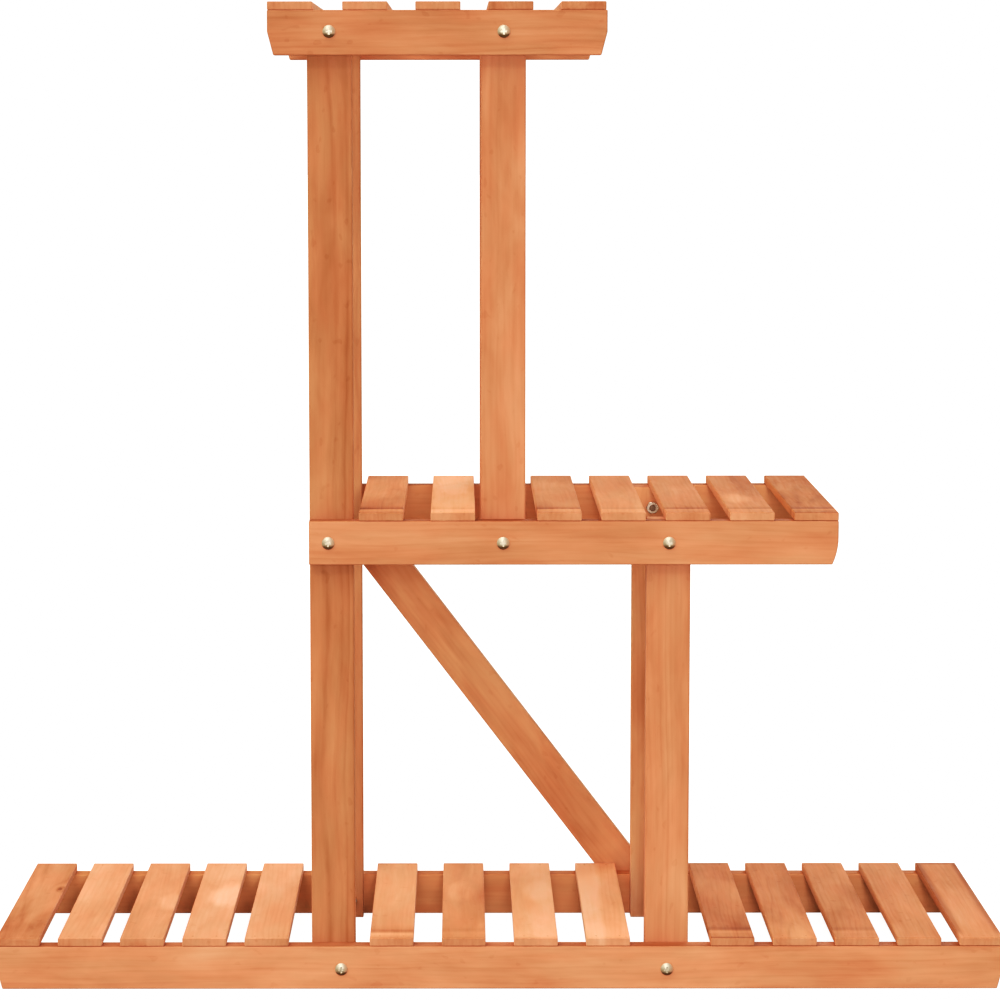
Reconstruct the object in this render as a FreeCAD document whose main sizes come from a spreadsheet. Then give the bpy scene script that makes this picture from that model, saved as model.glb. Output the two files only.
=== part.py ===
import FreeCAD, Part
import math
import os
import Sketcher

# Three-tier slatted wooden plant stand, millimetres.
# Frame: +Z up, +X to the right as seen from the front, -Y towards the front.
# Origin: on the floor, under the centre of the overall box.
#
# Two matching ladder-like frames, front and rear, each have three horizontal
# rails on the outside and three uprights bolted to the rails' inner faces.
# Cross slats lie on the rails and tie the frames together, and a diagonal
# brace is bolted across the back of the rear frame.

V = FreeCAD.Vector
doc = FreeCAD.newDocument("tiered_plant_stand")

# ---------------------------------------------------------------- dimensions
DIMS = [
    # overall
    ("base_length", 853.2),        # bottom rails, end to end
    ("frame_depth", 250.0),        # outer face of front rails to outer face of rear rails
    # timber sections
    ("rail_height", 37.0),
    ("rail_thick", 14.0),
    ("post_width", 37.0),
    ("post_thick", 14.0),
    ("slat_width", 37.1),
    ("slat_thick", 7.0),
    ("brace_width", 36.0),
    ("brace_thick", 14.0),
    ("edge_round", 1.1),           # eased long edges of rails and posts
    ("slat_round", 0.9),           # eased edges of slats
    # levels of the rails' lower edges
    ("bottom_level", 0.0),
    ("middle_level", 363.0),
    ("top_level", 786.0),
    # rails along X, measured from the left end of the bottom rails
    ("middle_rail_start", 267.1),
    ("middle_rail_length", 442.4),
    ("top_rail_start", 235.2),
    ("top_rail_length", 279.7),
    ("end_cut_inset", 5.0),        # slanted rail ends: how far the lower corner goes in
    ("end_cut_height", 19.2),
    ("end_curve_radius", 55.0),    # curved right end of the middle rails
    ("end_curve_height", 23.0),
    # posts along X
    ("left_post_start", 267.1),
    ("upper_post_start", 411.2),
    ("lower_post_start", 550.0),
    # bolts
    ("bolt_dia", 6.0),
    ("bolt_hole_dia", 6.5),
    ("bolt_head_dia", 10.6),
    ("bolt_head_height", 3.3),
    ("bolt_head_rim", 0.7),
    ("bolt_length", 35.0),
    ("brace_bolt_length", 50.0),
    ("bolt_tip", 0.8),
    ("recess_width", 1.5),
    ("recess_span", 5.4),
    ("recess_depth", 1.9),
    ("nut_across_flats", 10.0),
    ("nut_height", 5.0),
    # bolt centres along X, from the left end of the bottom rails
    ("bottom_bolt_left", 292.6),
    ("bottom_bolt_right", 568.2),
    ("middle_bolt_left", 283.3),
    ("middle_bolt_mid", 429.4),
    ("middle_bolt_right", 568.1),
    ("top_bolt_left", 286.1),
    ("top_bolt_right", 429.7),
    # bolt centres above each rail's lower edge
    ("bottom_bolt_rise", 17.2),
    ("middle_bolt_rise", 18.4),
    ("top_bolt_rise", 19.4),
    # diagonal brace: level cuts at both ends
    ("brace_foot", 560.6),         # centre line at the level of the bottom bolts, along X
    ("brace_top_cut", 389.0),
    ("brace_bottom_cut", 3.0),
    # slat pins
    ("pin_dia", 1.4),
    ("pin_length", 20.0),
    ("pin_inset", 7.0),            # from the slat's end, over the middle of the rail
    ("pin_spread", 20.0),          # between the two pins at one end
]

BOTTOM_SLATS = [0.0, 52.7, 105.3, 158.0, 210.7, 316.6, 377.7, 438.8, 499.9,
                605.3, 658.0, 710.7, 763.4, 816.1]
MIDDLE_SLATS = [309.0, 368.9, 457.9, 511.5, 565.1, 618.8, 672.3]
TOP_SLATS = [235.3, 297.0, 357.0, 416.9, 476.8]

for n, x in enumerate(BOTTOM_SLATS):
    DIMS.append(("bottom_slat_start_%02d" % (n + 1), x))
for n, x in enumerate(MIDDLE_SLATS):
    DIMS.append(("middle_slat_start_%02d" % (n + 1), x))
for n, x in enumerate(TOP_SLATS):
    DIMS.append(("top_slat_start_%02d" % (n + 1), x))

dims = doc.addObject("Spreadsheet::Sheet", "dims")
dims.Label = "dims"
D = {}
for row, (alias, value) in enumerate(DIMS):
    cell = "B%d" % (row + 1)
    dims.set("A%d" % (row + 1), alias)
    dims.set(cell, repr(float(value)))
    dims.setAlias(cell, alias)
    D[alias] = float(value)
doc.recompute()

# Expressions reused for placements.
X0 = "(-dims.base_length / 2)"
Y_FRONT = "(-(dims.frame_depth + dims.brace_thick) / 2)"          # front rails' outer face
Y_REAR = "(dims.frame_depth - (dims.frame_depth + dims.brace_thick) / 2)"  # rear rails' outer face

LEVEL = {"bottom": "dims.bottom_level", "middle": "dims.middle_level", "top": "dims.top_level"}
BOLTS = {"bottom": ["bottom_bolt_left", "bottom_bolt_right"],
         "middle": ["middle_bolt_left", "middle_bolt_mid", "middle_bolt_right"],
         "top": ["top_bolt_left", "top_bolt_right"]}
RAIL_START = {"bottom": "0", "middle": "dims.middle_rail_start", "top": "dims.top_rail_start"}
SLATS = {"bottom": BOTTOM_SLATS, "middle": MIDDLE_SLATS, "top": TOP_SLATS}
POST_START = {"left": "dims.left_post_start", "upper": "dims.upper_post_start",
              "lower": "dims.lower_post_start"}
# which bolt of which tier goes through each post
POST_BOLTS = {"left": [("bottom", 0), ("middle", 0), ("top", 0)],
              "upper": [("middle", 1), ("top", 1)],
              "lower": [("bottom", 1), ("middle", 2)]}
POST_FOOT = {"left": "dims.bottom_level", "upper": "dims.middle_level", "lower": "dims.bottom_level"}
POST_HEAD = {"left": "dims.top_level + dims.rail_height",
             "upper": "dims.top_level + dims.rail_height",
             "lower": "dims.middle_level + dims.rail_height"}

parts = []   # (object, node name)


def bolt_x(tier, index, rear):
    """Bolt centre from the left end of the bottom rails. The rear frame is drilled
    as the front one, so each rear bolt is straight behind a front one."""
    return "dims.%s" % BOLTS[tier][index]


def bolt_z(tier):
    return "(%s + dims.%s_bolt_rise)" % (LEVEL[tier], tier)


def value_of(expr):
    """Number behind one of the expressions above, for starting values."""
    total = expr
    for alias in sorted(D, key=len, reverse=True):
        total = total.replace("dims." + alias, "(%r)" % D[alias])
    tokens = total.replace(" ", "")
    return _parse(tokens)


def _parse(text):
    """Plain arithmetic reader for + - * / and brackets."""
    pos = [0]

    def factor():
        if text[pos[0]] == "-":
            pos[0] += 1
            return -factor()
        if text[pos[0]] == "(":
            pos[0] += 1
            v = expression()
            pos[0] += 1
            return v
        start = pos[0]
        while pos[0] < len(text) and (text[pos[0]].isdigit() or text[pos[0]] == "."):
            pos[0] += 1
        return float(text[start:pos[0]])

    def term():
        v = factor()
        while pos[0] < len(text) and text[pos[0]] in "*/":
            op = text[pos[0]]
            pos[0] += 1
            w = factor()
            v = v * w if op == "*" else v / w
        return v

    def expression():
        v = term()
        while pos[0] < len(text) and text[pos[0]] in "+-":
            op = text[pos[0]]
            pos[0] += 1
            w = term()
            v = v + w if op == "+" else v - w
        return v

    return expression()


def origin_plane(body, role):
    for o in body.Origin.OriginFeatures:
        if o.Role == role:
            return o
    raise ValueError(role)


def new_body(name):
    body = doc.addObject("PartDesign::Body", name)
    body.Label = name
    return body


def new_sketch(body, name, role, offset_expr=None):
    s = body.newObject("Sketcher::SketchObject", name)
    s.AttachmentSupport = [(origin_plane(body, role), "")]
    s.MapMode = "FlatFace"
    if offset_expr:
        s.setExpression("AttachmentOffset.Base.z", offset_expr)
    return s


def closed_lines(s, pts):
    n = len(pts)
    for i in range(n):
        s.addGeometry(Part.LineSegment(pts[i], pts[(i + 1) % n]), False)
    for i in range(n):
        s.addConstraint(Sketcher.Constraint("Coincident", i, 2, (i + 1) % n, 1))


def named(s, constraint, name, expr):
    i = s.addConstraint(constraint)
    s.renameConstraint(i, name)
    s.setExpression("Constraints." + name, expr)


def rectangle(s, width_expr, height_expr):
    """Rectangle with its lower left corner on the sketch origin."""
    w, h = value_of(width_expr), value_of(height_expr)
    closed_lines(s, [V(0, 0, 0), V(w, 0, 0), V(w, h, 0), V(0, h, 0)])
    for i, kind in ((0, "Horizontal"), (2, "Horizontal"), (1, "Vertical"), (3, "Vertical")):
        s.addConstraint(Sketcher.Constraint(kind, i))
    s.addConstraint(Sketcher.Constraint("Coincident", 0, 1, -1, 1))
    named(s, Sketcher.Constraint("DistanceX", 0, 1, 0, 2, w), "across", width_expr)
    named(s, Sketcher.Constraint("DistanceY", 1, 1, 1, 2, h), "up", height_expr)


def circle(s, tag, x_expr, y_expr, dia_expr):
    """Circle in the upper right quadrant of the sketch, placed from the origin."""
    x, y, d = value_of(x_expr), value_of(y_expr), value_of(dia_expr)
    g = s.addGeometry(Part.Circle(V(x, y, 0), V(0, 0, 1), d / 2.0), False)
    named(s, Sketcher.Constraint("DistanceX", -1, 1, g, 3, x), tag + "_x", x_expr)
    named(s, Sketcher.Constraint("DistanceY", -1, 1, g, 3, y), tag + "_y", y_expr)
    named(s, Sketcher.Constraint("Diameter", g, d), tag + "_dia", dia_expr)


def pad(body, sketch, name, length_expr, reverse=False):
    p = body.newObject("PartDesign::Pad", name)
    p.Profile = sketch
    p.Length = value_of(length_expr)
    p.setExpression("Length", length_expr)
    p.Reversed = reverse
    sketch.Visibility = False
    return p


def through(body, sketch, name, reverse=False):
    """Cut clean through; Midplane keeps it independent of the sketch's side."""
    p = body.newObject("PartDesign::Pocket", name)
    p.Profile = sketch
    p.Type = "ThroughAll"
    p.Midplane = True
    sketch.Visibility = False
    return p


def ease(body, base, name, radius_expr, skip=None):
    """Round every edge of a feature, apart from those that skip() names."""
    doc.recompute()
    edges = []
    for i, e in enumerate(base.Shape.Edges):
        if skip is None or not skip(e):
            edges.append("Edge%d" % (i + 1))
    f = body.newObject("PartDesign::Fillet", name)
    f.Base = (base, edges)
    f.Radius = value_of(radius_expr)
    f.setExpression("Radius", radius_expr)
    return f


def place(obj, x_expr, y_expr, z_expr):
    obj.setExpression("Placement.Base.x", x_expr)
    obj.setExpression("Placement.Base.y", y_expr)
    obj.setExpression("Placement.Base.z", z_expr)


# --------------------------------------------------------------------- rails
def rail_profile(s, tier):
    """Side view of a rail, sketch X along the rail and sketch Y up."""
    H = D["rail_height"]
    if tier == "middle":
        # square left end; the right end drops straight, then curves under
        L, R, a = D["middle_rail_length"], D["end_curve_radius"], D["end_curve_height"]
        ang = math.asin(a / R)
        foot = L - R + R * math.cos(ang)
        s.addGeometry(Part.LineSegment(V(0, 0, 0), V(0, H, 0)), False)          # 0 left end
        s.addGeometry(Part.LineSegment(V(0, H, 0), V(L, H, 0)), False)          # 1 top
        s.addGeometry(Part.LineSegment(V(L, H, 0), V(L, a, 0)), False)          # 2 right, straight
        s.addGeometry(Part.ArcOfCircle(Part.Circle(V(L - R, a, 0), V(0, 0, 1), R), -ang, 0), False)  # 3
        s.addGeometry(Part.LineSegment(V(foot, 0, 0), V(0, 0, 0)), False)       # 4 underside
        s.addConstraint(Sketcher.Constraint("Coincident", 0, 2, 1, 1))
        s.addConstraint(Sketcher.Constraint("Coincident", 1, 2, 2, 1))
        s.addConstraint(Sketcher.Constraint("Coincident", 2, 2, 3, 2))
        # the curve's centre is level with its start, so it leaves the end upright
        s.addConstraint(Sketcher.Constraint("Horizontal", 3, 3, 3, 2))
        s.addConstraint(Sketcher.Constraint("Coincident", 3, 1, 4, 1))
        s.addConstraint(Sketcher.Constraint("Coincident", 4, 2, 0, 1))
        s.addConstraint(Sketcher.Constraint("Coincident", 0, 1, -1, 1))
        for i in (1, 4):
            s.addConstraint(Sketcher.Constraint("Horizontal", i))
        for i in (0, 2):
            s.addConstraint(Sketcher.Constraint("Vertical", i))
        named(s, Sketcher.Constraint("DistanceX", 1, 1, 1, 2, L), "length", "dims.middle_rail_length")
        named(s, Sketcher.Constraint("DistanceY", 0, 1, 0, 2, H), "height", "dims.rail_height")
        named(s, Sketcher.Constraint("DistanceX", 3, 3, 3, 2, R), "curve", "dims.end_curve_radius")
        named(s, Sketcher.Constraint("DistanceY", 4, 1, 3, 2, a), "curve_height", "dims.end_curve_height")
        return
    # both ends straight above, slanted in below
    name = "base_length" if tier == "bottom" else "top_rail_length"
    L, c, a = D[name], D["end_cut_inset"], D["end_cut_height"]
    closed_lines(s, [V(0, a, 0), V(0, H, 0), V(L, H, 0), V(L, a, 0), V(L - c, 0, 0), V(c, 0, 0)])
    for i in (1, 4):
        s.addConstraint(Sketcher.Constraint("Horizontal", i))
    for i in (0, 2):
        s.addConstraint(Sketcher.Constraint("Vertical", i))
    s.addConstraint(Sketcher.Constraint("PointOnObject", 0, 1, -2))
    s.addConstraint(Sketcher.Constraint("PointOnObject", 4, 1, -1))
    s.addConstraint(Sketcher.Constraint("Horizontal", 0, 1, 2, 2))
    named(s, Sketcher.Constraint("DistanceX", 1, 1, 1, 2, L), "length", "dims." + name)
    named(s, Sketcher.Constraint("DistanceY", -1, 1, 1, 1, H), "height", "dims.rail_height")
    named(s, Sketcher.Constraint("DistanceY", -1, 1, 0, 1, a), "cut_height", "dims.end_cut_height")
    named(s, Sketcher.Constraint("DistanceX", -1, 1, 4, 2, c), "cut_left", "dims.end_cut_inset")
    named(s, Sketcher.Constraint("DistanceX", 4, 1, 3, 1, c), "cut_right", "dims.end_cut_inset")


def cross_edge(e):
    """Short edge running across the timber's thickness at a very open corner."""
    p, q = e.Vertexes[0].Point, e.Vertexes[-1].Point
    return abs(p.x - q.x) < 1e-6 and abs(p.z - q.z) < 1e-6 and abs(p.z - D["end_cut_height"]) < 1e-3


def make_rail(tier, rear):
    side = "rear" if rear else "front"
    name = "%s_%s_rail" % (side, tier)
    body = new_body(name)
    s = new_sketch(body, name + "_profile", "XZ_Plane")
    rail_profile(s, tier)
    solid = pad(body, s, name + "_board", "dims.rail_thick", reverse=True)
    solid = ease(body, solid, name + "_eased_edges", "dims.edge_round", skip=cross_edge)
    # bolt holes
    h = new_sketch(body, name + "_bolt_centres", "XZ_Plane")
    for i in range(len(BOLTS[tier])):
        circle(h, "hole%d" % i, bolt_x(tier, i, rear) + " - " + RAIL_START[tier],
               "dims.%s_bolt_rise" % tier, "dims.bolt_hole_dia")
    through(body, h, name + "_bolt_holes")
    # pin holes in the top edge, two under each slat
    k = new_sketch(body, name + "_pin_centres", "XY_Plane", "dims.rail_height")
    for n in range(len(SLATS[tier])):
        start = "dims.%s_slat_start_%02d" % (tier, n + 1)
        for j, sign in enumerate(("-", "+")):
            circle(k, "pin%02d_%d" % (n + 1, j),
                   "%s + dims.slat_width / 2 %s dims.pin_spread / 2 - %s" % (start, sign, RAIL_START[tier]),
                   "dims.pin_inset", "dims.pin_dia")
    p = body.newObject("PartDesign::Pocket", name + "_pin_holes")
    p.Profile = k
    p.Length = D["pin_length"] - D["slat_thick"]
    p.setExpression("Length", "dims.pin_length - dims.slat_thick")
    y = Y_REAR + " - dims.rail_thick" if rear else Y_FRONT
    place(body, X0 + " + " + RAIL_START[tier], y, LEVEL[tier])
    parts.append((body, name))


for tier in ("bottom", "middle", "top"):
    for rear in (False, True):
        make_rail(tier, rear)


# --------------------------------------------------------------------- posts
def make_post(which, rear):
    side = "rear" if rear else "front"
    name = "%s_%s_post" % (side, which)
    body = new_body(name)
    s = new_sketch(body, name + "_outline", "XZ_Plane")
    rectangle(s, "dims.post_width", "%s - %s" % (POST_HEAD[which], POST_FOOT[which]))
    solid = pad(body, s, name + "_board", "dims.post_thick", reverse=True)
    ease(body, solid, name + "_eased_edges", "dims.edge_round")
    h = new_sketch(body, name + "_bolt_centres", "XZ_Plane")
    for i, (tier, index) in enumerate(POST_BOLTS[which]):
        circle(h, "hole%d" % i, bolt_x(tier, index, rear) + " - " + POST_START[which],
               bolt_z(tier) + " - " + POST_FOOT[which], "dims.bolt_hole_dia")
    through(body, h, name + "_bolt_holes")
    if rear:
        y = Y_REAR + " - dims.rail_thick - dims.post_thick"
    else:
        y = Y_FRONT + " + dims.rail_thick"
    place(body, X0 + " + " + POST_START[which], y, POST_FOOT[which])
    parts.append((body, name))


for which in ("left", "upper", "lower"):
    for rear in (False, True):
        make_post(which, rear)


# --------------------------------------------------------------------- slats
def make_slat(tier, n):
    digits = "%02d" if tier == "bottom" else "%d"
    name = ("%s_slat_" + digits) % (tier, n + 1)
    body = new_body(name)
    s = new_sketch(body, name + "_outline", "XY_Plane")
    rectangle(s, "dims.slat_width", "dims.frame_depth")
    solid = pad(body, s, name + "_board", "dims.slat_thick")
    ease(body, solid, name + "_eased_edges", "dims.slat_round")
    k = new_sketch(body, name + "_pin_centres", "XY_Plane")
    for j, sign in enumerate(("-", "+")):
        across = "dims.slat_width / 2 %s dims.pin_spread / 2" % sign
        circle(k, "front%d" % j, across, "dims.pin_inset", "dims.pin_dia")
        circle(k, "rear%d" % j, across, "dims.frame_depth - dims.pin_inset", "dims.pin_dia")
    through(body, k, name + "_pin_holes")
    place(body, X0 + " + dims.%s_slat_start_%02d" % (tier, n + 1), Y_FRONT,
          LEVEL[tier] + " + dims.rail_height")
    parts.append((body, name))


for tier in ("bottom", "middle", "top"):
    for n in range(len(SLATS[tier])):
        make_slat(tier, n)


# --------------------------------------------------------------------- brace
# A flat bar across the back, from the middle rail's left bolt down to the
# bottom rail's right bolt, with level cuts at both ends. Its centre line starts
# at the upper bolt and passes a little to the left of the lower one.
def make_brace():
    name = "rear_diagonal_brace"
    body = new_body(name)
    xt, zt = value_of(bolt_x("middle", 0, True)), value_of(bolt_z("middle"))
    xb, zb = D["brace_foot"], value_of(bolt_z("bottom"))
    run, fall = xb - xt, zt - zb
    length = math.hypot(run, fall)
    lean = run / fall
    half = D["brace_width"] / 2.0 * length / fall      # half width measured level
    top, low = D["brace_top_cut"], D["brace_bottom_cut"]

    def mid(z):
        return xt + (zt - z) * lean

    s = new_sketch(body, name + "_outline", "XZ_Plane")
    closed_lines(s, [V(mid(low) - half, low, 0), V(mid(low) + half, low, 0),
                     V(mid(top) + half, top, 0), V(mid(top) - half, top, 0)])
    # construction line: the bar's centre line, down to the level of the lower bolt
    c = s.addGeometry(Part.LineSegment(V(xt, zt, 0), V(xb, zb, 0)), True)
    s.addConstraint(Sketcher.Constraint("Horizontal", 0))
    s.addConstraint(Sketcher.Constraint("Horizontal", 2))
    named(s, Sketcher.Constraint("DistanceX", -1, 1, c, 1, xt), "upper_x", bolt_x("middle", 0, True))
    named(s, Sketcher.Constraint("DistanceY", -1, 1, c, 1, zt), "upper_z", bolt_z("middle"))
    named(s, Sketcher.Constraint("DistanceX", -1, 1, c, 2, xb), "lower_x", "dims.brace_foot")
    named(s, Sketcher.Constraint("DistanceY", -1, 1, c, 2, zb), "lower_z", bolt_z("bottom"))
    s.addConstraint(Sketcher.Constraint("Parallel", 1, c))
    s.addConstraint(Sketcher.Constraint("Parallel", 3, c))
    named(s, Sketcher.Constraint("Distance", c, 1, 1, D["brace_width"] / 2.0), "half_a", "dims.brace_width / 2")
    named(s, Sketcher.Constraint("Distance", c, 1, 3, D["brace_width"] / 2.0), "half_b", "dims.brace_width / 2")
    named(s, Sketcher.Constraint("DistanceY", -1, 1, 0, 1, low), "lower_cut", "dims.brace_bottom_cut")
    named(s, Sketcher.Constraint("DistanceY", -1, 1, 2, 1, top), "upper_cut", "dims.brace_top_cut")
    solid = pad(body, s, name + "_board", "dims.brace_thick", reverse=True)
    ease(body, solid, name + "_eased_edges", "dims.edge_round")
    h = new_sketch(body, name + "_bolt_centres", "XZ_Plane")
    circle(h, "upper", bolt_x("middle", 0, True), bolt_z("middle"), "dims.bolt_hole_dia")
    circle(h, "lower", bolt_x("bottom", 1, True), bolt_z("bottom"), "dims.bolt_hole_dia")
    through(body, h, name + "_bolt_holes")
    place(body, X0, Y_REAR, "0")
    parts.append((body, name))


make_brace()


# --------------------------------------------------------------------- bolts
# Domed machine bolt with a cross recess. The pattern piece stands with its
# head up and the underside of the head on z = 0.
def make_bolt_pattern(name, length_expr):
    body = new_body(name)
    r, k, rim = D["bolt_head_dia"] / 2.0, D["bolt_head_height"], D["bolt_head_rim"]
    q, L, tip = D["bolt_dia"] / 2.0, value_of(length_expr), D["bolt_tip"]
    b = k - rim
    R = (r * r + b * b) / (2.0 * b)
    s = new_sketch(body, name + "_half_profile", "XZ_Plane")
    a0 = math.atan2(rim - (k - R), r)
    s.addGeometry(Part.ArcOfCircle(Part.Circle(V(0, k - R, 0), V(0, 0, 1), R), a0, math.pi / 2), False)  # 0 dome
    pts = [V(r, rim, 0), V(r, 0, 0), V(q, 0, 0), V(q, -L + tip, 0), V(q - tip, -L, 0), V(0, -L, 0), V(0, k, 0)]
    for i in range(len(pts) - 1):
        s.addGeometry(Part.LineSegment(pts[i], pts[i + 1]), False)   # 1..6
    s.addConstraint(Sketcher.Constraint("Coincident", 0, 1, 1, 1))
    for i in range(1, 6):
        s.addConstraint(Sketcher.Constraint("Coincident", i, 2, i + 1, 1))
    s.addConstraint(Sketcher.Constraint("Coincident", 6, 2, 0, 2))
    for i in (1, 3, 6):
        s.addConstraint(Sketcher.Constraint("Vertical", i))
    for i in (2, 5):
        s.addConstraint(Sketcher.Constraint("Horizontal", i))
    s.addConstraint(Sketcher.Constraint("PointOnObject", 0, 3, -2))
    s.addConstraint(Sketcher.Constraint("PointOnObject", 6, 2, -2))
    s.addConstraint(Sketcher.Constraint("PointOnObject", 1, 2, -1))
    named(s, Sketcher.Constraint("DistanceX", -1, 1, 1, 2, r), "head_radius", "dims.bolt_head_dia / 2")
    named(s, Sketcher.Constraint("DistanceY", -1, 1, 0, 2, k), "head_height", "dims.bolt_head_height")
    named(s, Sketcher.Constraint("DistanceY", 1, 2, 1, 1, rim), "rim", "dims.bolt_head_rim")
    named(s, Sketcher.Constraint("DistanceX", -1, 1, 3, 1, q), "shank_radius", "dims.bolt_dia / 2")
    named(s, Sketcher.Constraint("DistanceY", 5, 1, 3, 1, L), "shank_length", length_expr)
    named(s, Sketcher.Constraint("DistanceY", 4, 2, 4, 1, tip), "tip_height", "dims.bolt_tip")
    named(s, Sketcher.Constraint("DistanceX", 4, 2, 4, 1, tip), "tip_width", "dims.bolt_tip")
    rev = body.newObject("PartDesign::Revolution", name + "_turned")
    rev.Profile = s
    rev.ReferenceAxis = (s, ["V_Axis"])
    rev.Angle = 360.0
    doc.recompute()
    # cross recess, cut as two straight slots
    for tag, wide, tall in (("level", "dims.recess_span", "dims.recess_width"),
                            ("upright", "dims.recess_width", "dims.recess_span")):
        c = new_sketch(body, name + "_slot_" + tag, "XY_Plane", "dims.bolt_head_height")
        w, t = value_of(wide) / 2.0, value_of(tall) / 2.0
        closed_lines(c, [V(-w, -t, 0), V(w, -t, 0), V(w, t, 0), V(-w, t, 0)])
        for i in (0, 2):
            c.addConstraint(Sketcher.Constraint("Horizontal", i))
        for i in (1, 3):
            c.addConstraint(Sketcher.Constraint("Vertical", i))
        c.addConstraint(Sketcher.Constraint("Symmetric", 0, 1, 2, 1, -1, 1))
        named(c, Sketcher.Constraint("DistanceX", 0, 1, 0, 2, 2 * w), "wide", wide)
        named(c, Sketcher.Constraint("DistanceY", 1, 1, 1, 2, 2 * t), "tall", tall)
        cut = body.newObject("PartDesign::Pocket", name + "_recess_" + tag)
        cut.Profile = c
        cut.Length = D["recess_depth"]
        cut.setExpression("Length", "dims.recess_depth")
    return body


bolt_pattern = make_bolt_pattern("bolt_pattern_piece", "dims.bolt_length")
brace_bolt_pattern = make_bolt_pattern("brace_bolt_pattern_piece", "dims.brace_bolt_length")

# Hexagon nut with its corners turned down, standing on z = 0.
hexagon = doc.addObject("Part::Prism", "nut_hexagon")
hexagon.Polygon = 6
hexagon.setExpression("Circumradius", "dims.nut_across_flats / 2 / cos(30)")
hexagon.setExpression("Height", "dims.nut_height")
turned = doc.addObject("Part::Cylinder", "nut_turned_blank")
turned.setExpression("Radius", "dims.nut_across_flats / 2 / cos(30)")
turned.setExpression("Height", "dims.nut_height")
doc.recompute()
turned_ends = doc.addObject("Part::Chamfer", "nut_turned_ends")
turned_ends.Base = turned
turned_ends.Edges = [(i + 1, 0.45, 0.8) for i, e in enumerate(turned.Shape.Edges)
                     if len(e.Vertexes) == 1 or e.Closed]
nut_body = doc.addObject("Part::Common", "nut_blank")
nut_body.Base = hexagon
nut_body.Tool = turned_ends
nut_bore = doc.addObject("Part::Cylinder", "nut_bore")
nut_bore.setExpression("Radius", "dims.bolt_dia / 2")
nut_bore.setExpression("Height", "dims.nut_height + 2")
nut_bore.setExpression("Placement.Base.z", "-1")
nut_pattern = doc.addObject("Part::Cut", "nut_pattern_piece")
nut_pattern.Base = nut_body
nut_pattern.Tool = nut_bore

# Slat pin, standing on z = 0.
pin_pattern = doc.addObject("Part::Cylinder", "pin_pattern_piece")
pin_pattern.setExpression("Radius", "dims.pin_dia / 2")
pin_pattern.setExpression("Height", "dims.pin_length")

HEAD_TO_FRONT = FreeCAD.Rotation(V(1, 0, 0), 90)     # local +Z to -Y
HEAD_TO_REAR = FreeCAD.Rotation(V(1, 0, 0), -90)     # local +Z to +Y


def copy_of(source, name, rotation, x_expr, y_expr, z_expr):
    link = doc.addObject("App::Link", name)
    link.LinkedObject = source
    link.LinkTransform = False
    link.Placement = FreeCAD.Placement(V(0, 0, 0), rotation)
    place(link, x_expr, y_expr, z_expr)
    return link


def group(name, members):
    g = doc.addObject("Part::Compound", name)
    g.Label = name
    g.Links = members
    parts.append((g, name))


# which bolts of the rear frame also carry the brace
BRACE_BOLTS = [("middle", 0), ("bottom", 1)]

for tier in ("bottom", "middle", "top"):
    for rear in (False, True):
        side = "rear" if rear else "front"
        bolts, nuts = [], []
        for i in range(len(BOLTS[tier])):
            x = X0 + " + " + bolt_x(tier, i, rear)
            z = bolt_z(tier)
            if rear:
                if (tier, i) not in BRACE_BOLTS:
                    bolts.append(copy_of(bolt_pattern, "%s_%s_bolt_%d" % (side, tier, i + 1),
                                         HEAD_TO_REAR, x, Y_REAR, z))
                ny = Y_REAR + " - dims.rail_thick - dims.post_thick - dims.nut_height"
                nuts.append(copy_of(nut_pattern, "%s_%s_nut_%d" % (side, tier, i + 1),
                                    HEAD_TO_REAR, x, ny, z))
            else:
                bolts.append(copy_of(bolt_pattern, "%s_%s_bolt_%d" % (side, tier, i + 1),
                                     HEAD_TO_FRONT, x, Y_FRONT, z))
                ny = Y_FRONT + " + dims.rail_thick + dims.post_thick + dims.nut_height"
                nuts.append(copy_of(nut_pattern, "%s_%s_nut_%d" % (side, tier, i + 1),
                                    HEAD_TO_FRONT, x, ny, z))
        group("%s_%s_bolts" % (side, tier), bolts)
        group("%s_%s_nuts" % (side, tier), nuts)

brace_bolts = []
for n, (tier, i) in enumerate(BRACE_BOLTS):
    brace_bolts.append(copy_of(brace_bolt_pattern, "brace_bolt_%d" % (n + 1), HEAD_TO_REAR,
                               X0 + " + " + bolt_x(tier, i, True), Y_REAR + " + dims.brace_thick",
                               bolt_z(tier)))
group("brace_bolts", brace_bolts)

for tier in ("bottom", "middle", "top"):
    pins = []
    for n in range(len(SLATS[tier])):
        for end, y in (("front", Y_FRONT + " + dims.pin_inset"), ("rear", Y_REAR + " - dims.pin_inset")):
            for j, sign in enumerate(("-", "+")):
                pins.append(copy_of(
                    pin_pattern, "%s_pin_%02d_%s_%d" % (tier, n + 1, end, j + 1), FreeCAD.Rotation(),
                    X0 + " + dims.%s_slat_start_%02d + dims.slat_width / 2 %s dims.pin_spread / 2" % (tier, n + 1, sign),
                    y, LEVEL[tier] + " + dims.rail_height + dims.slat_thick - dims.pin_length"))
    group("%s_slat_pins" % tier, pins)

doc.recompute()

# --------------------------------------------------------------------- checks
bad = [o.Name for o in doc.Objects if "Invalid" in o.State or "Error" in o.State]
if bad:
    raise RuntimeError("failed objects: " + ", ".join(bad))
total = FreeCAD.BoundBox()
for obj, name in parts:
    shape = obj.Shape
    if shape.isNull() or not shape.isValid() or len(shape.Solids) < 1:
        raise RuntimeError("bad shape: " + name)
    total.add(shape.optimalBoundingBox(False))


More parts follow.
